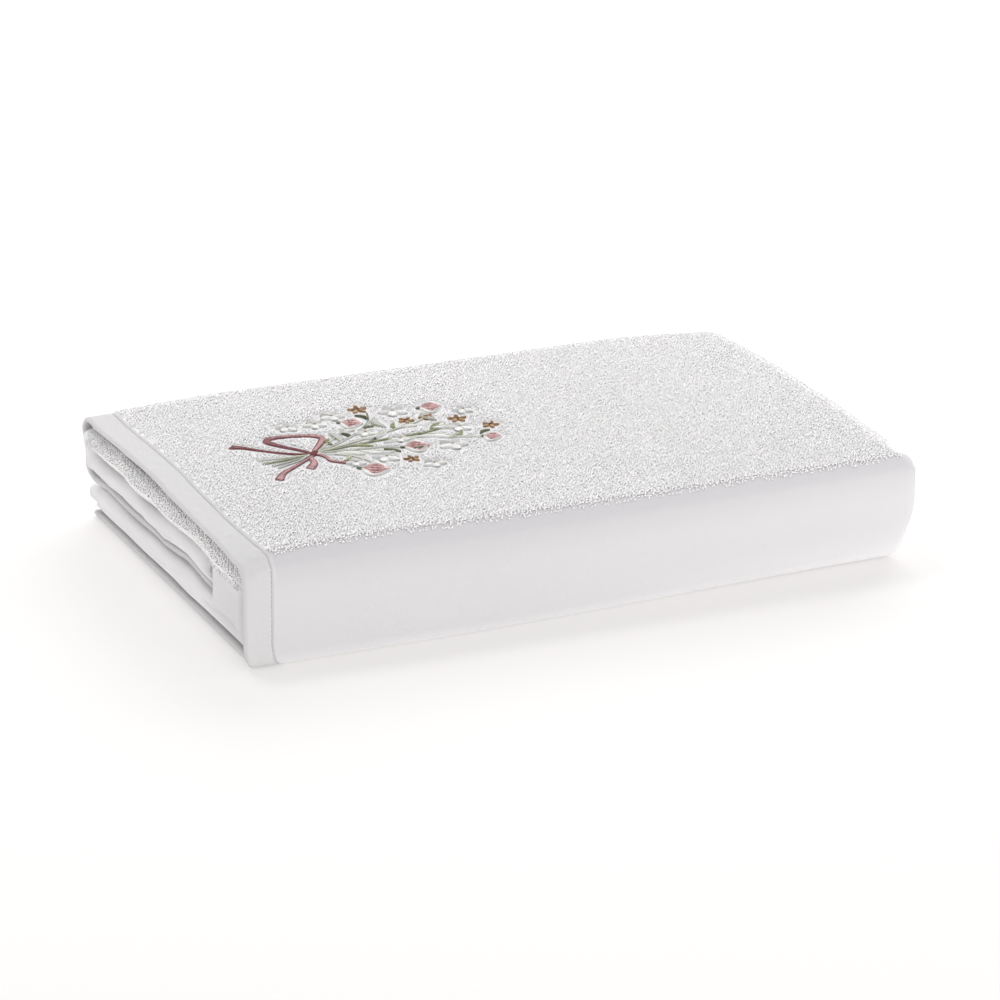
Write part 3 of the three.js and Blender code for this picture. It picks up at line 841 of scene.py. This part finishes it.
def pile_tree():
    """Stands a loop at each point, along its own direction, turned and sized as the point says."""
    tree, given = tree_taking("Stand loops on cloth", {"Loop": "Object", "Yarn": "Material"})
    nodes, link = tree.nodes, tree.links.new
    loop = nodes.new("GeometryNodeObjectInfo")
    link(given.outputs["Loop"], loop.inputs["Object"])

    def stated(name, kind):
        read = nodes.new("GeometryNodeInputNamedAttribute")
        read.data_type = kind
        read.inputs["Name"].default_value = name
        return read.outputs["Attribute"]

    stand = nodes.new("FunctionNodeAlignRotationToVector")
    stand.axis = "Z"
    link(stated("stand", "FLOAT_VECTOR"), stand.inputs["Vector"])
    spin = nodes.new("FunctionNodeAxisAngleToRotation")
    spin.inputs["Axis"].default_value = (0, 0, 1)
    link(stated("spin", "FLOAT"), spin.inputs["Angle"])
    turned = nodes.new("FunctionNodeRotateRotation")
    turned.rotation_space = "LOCAL"
    link(stand.outputs["Rotation"], turned.inputs["Rotation"])
    link(spin.outputs["Rotation"], turned.inputs["Rotate By"])
    placed = nodes.new("GeometryNodeInstanceOnPoints")
    link(given.outputs["Geometry"], placed.inputs["Points"])
    link(loop.outputs["Geometry"], placed.inputs["Instance"])
    link(turned.outputs["Rotation"], placed.inputs["Rotation"])
    link(stated("size", "FLOAT_VECTOR"), placed.inputs["Scale"])
    return ended(tree, placed.outputs["Instances"], given.outputs["Yarn"])


pile_nodes = pile_tree()
loop_points, loop_sides = yarn_loop()
one_loop = piece_of("One_loop", loop_points, loop_sides)


def yarn_finish(name, dark, light, sheen):
    """Soft cotton yarn, each loop a little lighter or darker than the next; at the left end the
    loops also carry painted light and shade.
    """
    yarn = Finish(name, Roughness=0.95, Sheen_Weight=sheen, Sheen_Roughness=0.5)
    colour = yarn.mix(yarn.stated("shade") * 0.75 + yarn.noise(30.0) * 0.25, dark, light)
    return yarn.to_shader(Base_Color=colour, Normal=yarn.bump(yarn.noise(4000.0), 0.35, 0.0002))


standing_yarn = yarn_finish("standing_yarn", COTTON_SHADE, COTTON, 0.6)
# Painted shade: the back's and the right end's loops are a darker copy of the top's.
pressed_yarn = yarn_finish("pressed_yarn", PAINTED_SHADE_COTTON_MOTTLE, PAINTED_SHADE_COTTON, 0.2)
# The left end's yarn runs from the deep painted-shade grey to white: painted light and shade.
end_yarn = yarn_finish("end_yarn", DEEP_PAINTED_SHADE_COTTON, COTTON, 0.2)
face_normals = np.cross(np.gradient(outside, axis=1), np.gradient(outside, axis=0))
face_normals /= np.linalg.norm(face_normals, axis=2)[..., None]


def on_face(rows, columns):
    """Points and directions of the outside face at fractional rows and columns of it."""
    r0 = np.clip(np.floor(rows).astype(int), 0, outside.shape[0] - 2)
    c0 = np.clip(np.floor(columns).astype(int), 0, outside.shape[1] - 2)
    fr, fc = (rows - r0)[:, None], (columns - c0)[:, None]

    def blended(grid):
        low = grid[r0, c0] * (1 - fc) + grid[r0, c0 + 1] * fc
        high = grid[r0 + 1, c0] * (1 - fc) + grid[r0 + 1, c0 + 1] * fc
        return low * (1 - fr) + high * fr

    normal = blended(face_normals)
    return blended(outside), normal / np.linalg.norm(normal, axis=1)[:, None]


LOOSENESS = 0.16


def scattered(first_row, last_row, first_column, last_column, pitch):
    """Points a pitch apart over a part of the outside face, and their directions."""
    over, down = distances_over(
        outside[first_row:last_row + 1, first_column:last_column + 1])
    line_pitch = pitch * math.sqrt(3) / 2
    lines = np.arange(line_pitch / 2, down[-1], line_pitch)
    a, b = np.meshgrid(np.arange(0, over[-1], pitch), lines)
    a = a + (np.arange(len(lines)) % 2)[:, None] * pitch / 2
    a = (a + chance.normal(0, LOOSENESS * pitch, a.shape)).ravel()
    b = (b + chance.normal(0, LOOSENESS * pitch, b.shape)).ravel()
    kept = (a > 0) & (a < over[-1]) & (b > 0) & (b < down[-1])
    columns = np.interp(a[kept], over, np.arange(len(over))) + first_column
    rows = np.interp(b[kept], down, np.arange(len(down))) + first_row
    return on_face(rows, columns)


def pile(name, points, directions, heights, yarn, width, lean=0.30, light=0.5, varied=0.2):
    """One piece of loops that stand at these points, as high as they say, in millimetres."""
    count = len(points)
    start = piece_of(name, points, [], smooth=False)
    tilt = chance.normal(0, lean, (count, 3))
    stand = directions + tilt - directions * (tilt * directions).sum(1)[:, None]
    spin = chance.uniform(0, 2 * math.pi, count)
    girth = width * chance.uniform(0.85, 1.2, count)
    size = np.column_stack([girth, girth, heights])
    # A loop's shade starts from the light given, which at the left end is painted light and shade.
    shade = light + chance.uniform(-0.5, 0.5, count) * varied
    for label, values in (("stand", stand), ("spin", spin), ("size", size), ("shade", shade)):
        stated_at_points(start.data, label, values)
    made_by_nodes(start, pile_nodes, {"Loop": one_loop, "Yarn": yarn})
    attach(start, "root")
    return start


station_names = np.array([name for name, _, _ in stations])
columns_of = {name: np.flatnonzero(lay_names == name) for name in ("hem", "fold", "bulge")}
rows_of = {name: np.flatnonzero(station_names == name) for name, _ in STRETCHES}
pile_start = columns_of["hem"][-1]
fold_start, fold_end = columns_of["fold"][0], columns_of["fold"][-1]
bulge_start, bulge_end = columns_of["bulge"][0], columns_of["bulge"][-1]
last_row = row_count - 1

# The top's loops, from half-way round the front's upper edge to the back. They thin out at
# that edge, stand in soft clumps, are pressed down round the stitches and leave their places bare.
TOP_PITCH, TOP_WIDTH, TOP_HEIGHT = 1.72, 1.2, 1.15
TOP_FROM_STRIP = 5
EDGE_WIDTH, EDGE_CHANCE = 2.5, 0.55
CLUMPS, CLUMP_HEIGHT, CLUMP_LEAN = 24, 0.04, 0.05
DENT_FILLED = 0.6
BARE_WITHIN, PRESSED_WITHIN = 1.5, 5.0
TOP_PARTS = ((-200, -62), (-62, 58), (58, 200))
points, directions = scattered(rows_of["frontHigh"][TOP_FROM_STRIP], rows_of["top"][-1],
                               pile_start, fold_start, TOP_PITCH)
edge = points[:, 1] - points[:, 1].min()
kept = (edge > EDGE_WIDTH) | (chance.uniform(0, 1, len(edge)) < EDGE_CHANCE)
points, directions, edge = points[kept], directions[kept], edge[kept]
x, y = points[:, 0], points[:, 1]
dent = dented(x, y)
crispness = 0.09 + 0.06 * eased(-y, -90, 90) + 0.16 * (eased(-y, -60, 110) * eased(-x, 20, 190))
crispness *= 1 - 0.7 * dent / DENT
heights = TOP_HEIGHT + 0.5 * crispness + crispness * chance.uniform(-1, 1, len(points))
leaning = np.zeros((len(points), 3))
for turn, length, phase in zip(chance.uniform(0, math.pi, CLUMPS), chance.uniform(3.2, 9, CLUMPS),
                               chance.uniform(0, 2 * math.pi, CLUMPS)):
    wave = np.sin(2 * math.pi * (x * math.cos(turn) + y * math.sin(turn)) / length + phase)
    heights += CLUMP_HEIGHT * wave
    leaning += CLUMP_LEAN * wave[:, None] * np.array([math.sin(3 * phase), math.cos(3 * phase), 0])
heights = heights * (0.65 + 0.35 * eased(edge, 1, 5)) + DENT_FILLED * dent
away = from_stitches(points)
heights *= 0.25 + 0.75 * eased(away, 1.4, PRESSED_WITHIN)
for i, (low, high) in enumerate(TOP_PARTS):
    part = (away >= BARE_WITHIN) & (x >= low) & (x < high)
    pile(f"Top_loops_{i + 1}", points[part], directions[part] + leaning[part],
                            heights[part], standing_yarn, TOP_WIDTH, varied=1.0)

# The back's loops, which lie low from the top down over both rounded edges.
BACK_PITCH, BACK_WIDTH, BACK_HEIGHTS = 1.9, 1.2, (0.7, 1.0)
points, directions = scattered(rows_of["backHigh"][0], rows_of["backLow"][-1],
                               pile_start, fold_start, BACK_PITCH)
heights = chance.uniform(*BACK_HEIGHTS, len(points))
# The back's loops take the yarn with painted shade.
pile("Back_loops", points, directions, heights, pressed_yarn, BACK_WIDTH)

# The right end's loops, on its outer fold. They lie lowest, and fade out towards the front.
RIGHT_PITCH, RIGHT_WIDTH, RIGHT_HEIGHTS, RIGHT_LEAN = 1.9, 1.25, (0.40, 0.60), 0.15
RIGHT_FADES = (-108, -80)
points, directions = scattered(0, last_row, fold_start, fold_end, RIGHT_PITCH)
behind = points[:, 1] > -102
points, directions = points[behind], directions[behind]
heights = chance.uniform(*RIGHT_HEIGHTS, len(points)) * eased(points[:, 1], *RIGHT_FADES)
# The right end's loops take the yarn with painted shade.
pile("Right_end_loops", points, directions, heights, pressed_yarn,
                        RIGHT_WIDTH, RIGHT_LEAN)

# The left end's loops, on the upper folds between the hems, highest up there and with painted
# light on that upper band.
LEFT_PITCH, LEFT_WIDTH, LEFT_HEIGHTS = 1.6, 1.25, (0.85, 1.15)
LEAST_UPPER = 0.04
points, directions = scattered(0, last_row, bulge_start, bulge_end, LEFT_PITCH)
upper = eased(points[:, 2], 38, 46) * eased(points[:, 1], 118, 60)
upper = upper * eased(points[:, 1], -118, -104)
standing = upper > LEAST_UPPER
points, directions, upper = points[standing], directions[standing], upper[standing]
heights = (0.2 + 0.75 * upper) * chance.uniform(*LEFT_HEIGHTS, len(points))
pile("Left_end_loops", points, directions, heights, end_yarn, LEFT_WIDTH,
                        light=painted_light_and_shade_at(points) + 0.8 * upper)
bpy.data.objects.remove(one_loop)

# What the towel lies on, the light and the view: a plain white surface under soft light from
# large panels, seen from the front left, a little above.
SURFACE_HALF = 6.0
corners = [(x * SURFACE_HALF / MM, y * SURFACE_HALF / MM, 0)
           for x, y in ((-1, -1), (1, -1), (1, 1), (-1, 1))]
floor = piece_of("Floor", corners, [(0, 1, 2, 3)], smooth=False)
white = Finish("white_surface", Roughness=0.8, Base_Color=(0.54, 0.53, 0.525, 1),
               Emission_Color=(1, 0.985, 0.97, 1), Emission_Strength=0.38)
floor.data.materials.append(white.material)

ROOM_LIGHT = 0.62
world = bpy.data.worlds.new("Soft_room")
world.use_nodes = True
world.node_tree.nodes["Background"].inputs["Color"].default_value = (1, 1, 1, 1)
world.node_tree.nodes["Background"].inputs["Strength"].default_value = ROOM_LIGHT
bpy.context.scene.world = world
TOWEL_MIDDLE = Vector((0, 0, 0.03))


def light_panel(name, at, size, power, blue):
    """A lit rectangle that faces the towel, its size in metres and its power in watts."""
    lamp = bpy.data.lights.new(name, "AREA")
    lamp.shape = "RECTANGLE"
    lamp.size, lamp.size_y = size
    lamp.energy = power
    lamp.color = (1.0, 0.99, blue)
    panel = bpy.data.objects.new(name, lamp)
    facing = (TOWEL_MIDDLE - Vector(at)).to_track_quat("-Z", "Y").to_matrix().to_4x4()
    panel.matrix_world = Matrix.Translation(at) @ facing
    bpy.context.scene.collection.objects.link(panel)


light_panel("Top_panel", (-0.3, 0.6, 1.6), (0.5, 0.5), 7.5, 0.985)
light_panel("Back_panel", (0.95, 1.25, 0.98), (1.8, 1.0), 21.5, 0.985)
light_panel("Left_panel", (-1.6, 0.1, 0.6), (1.2, 1.0), 5.5, 0.98)
light_panel("Right_panel", (1.5, -0.2, 0.7), (1.2, 1.0), 2.0, 0.98)
light_panel("Near_panel", (0.6, -1.7, 0.18), (1.8, 0.3), 15.0, 0.98)

# The camera stands off along its own right, up and forward directions, in millimetres, from a
# point close to the middle of the towel's underside.
VIEW_AZIMUTH = math.radians(-23.547)
VIEW_ELEVATION = math.radians(20.554)
VIEW_OFFSET = (0.80, 19.66, -2903.5)
VIEW_START = np.array([1.5, 1.207, 0])
SENSOR_WIDTH = 36.0
LENS_TO_SENSOR = 5.5
right = np.array([math.cos(VIEW_AZIMUTH), math.sin(VIEW_AZIMUTH), 0])
forward = np.array([-math.sin(VIEW_AZIMUTH) * math.cos(VIEW_ELEVATION),
                    math.cos(VIEW_AZIMUTH) * math.cos(VIEW_ELEVATION),
                    -math.sin(VIEW_ELEVATION)])
up = np.cross(right, forward)
eye = sum(part * way for part, way in zip(VIEW_OFFSET, (right, up, forward)))
eye = (eye + VIEW_START) * MM
camera = bpy.data.objects.new("View", bpy.data.cameras.new("View"))
camera.data.sensor_width = SENSOR_WIDTH
camera.data.lens = SENSOR_WIDTH * LENS_TO_SENSOR
camera.data.clip_end = 50.0
axes = Matrix([right, up, -forward]).transposed().to_4x4()
camera.matrix_world = Matrix.Translation(Vector(eye)) @ axes
bpy.context.scene.collection.objects.link(camera)
bpy.context.scene.camera = camera
bpy.context.scene.view_settings.view_transform = "Standard"
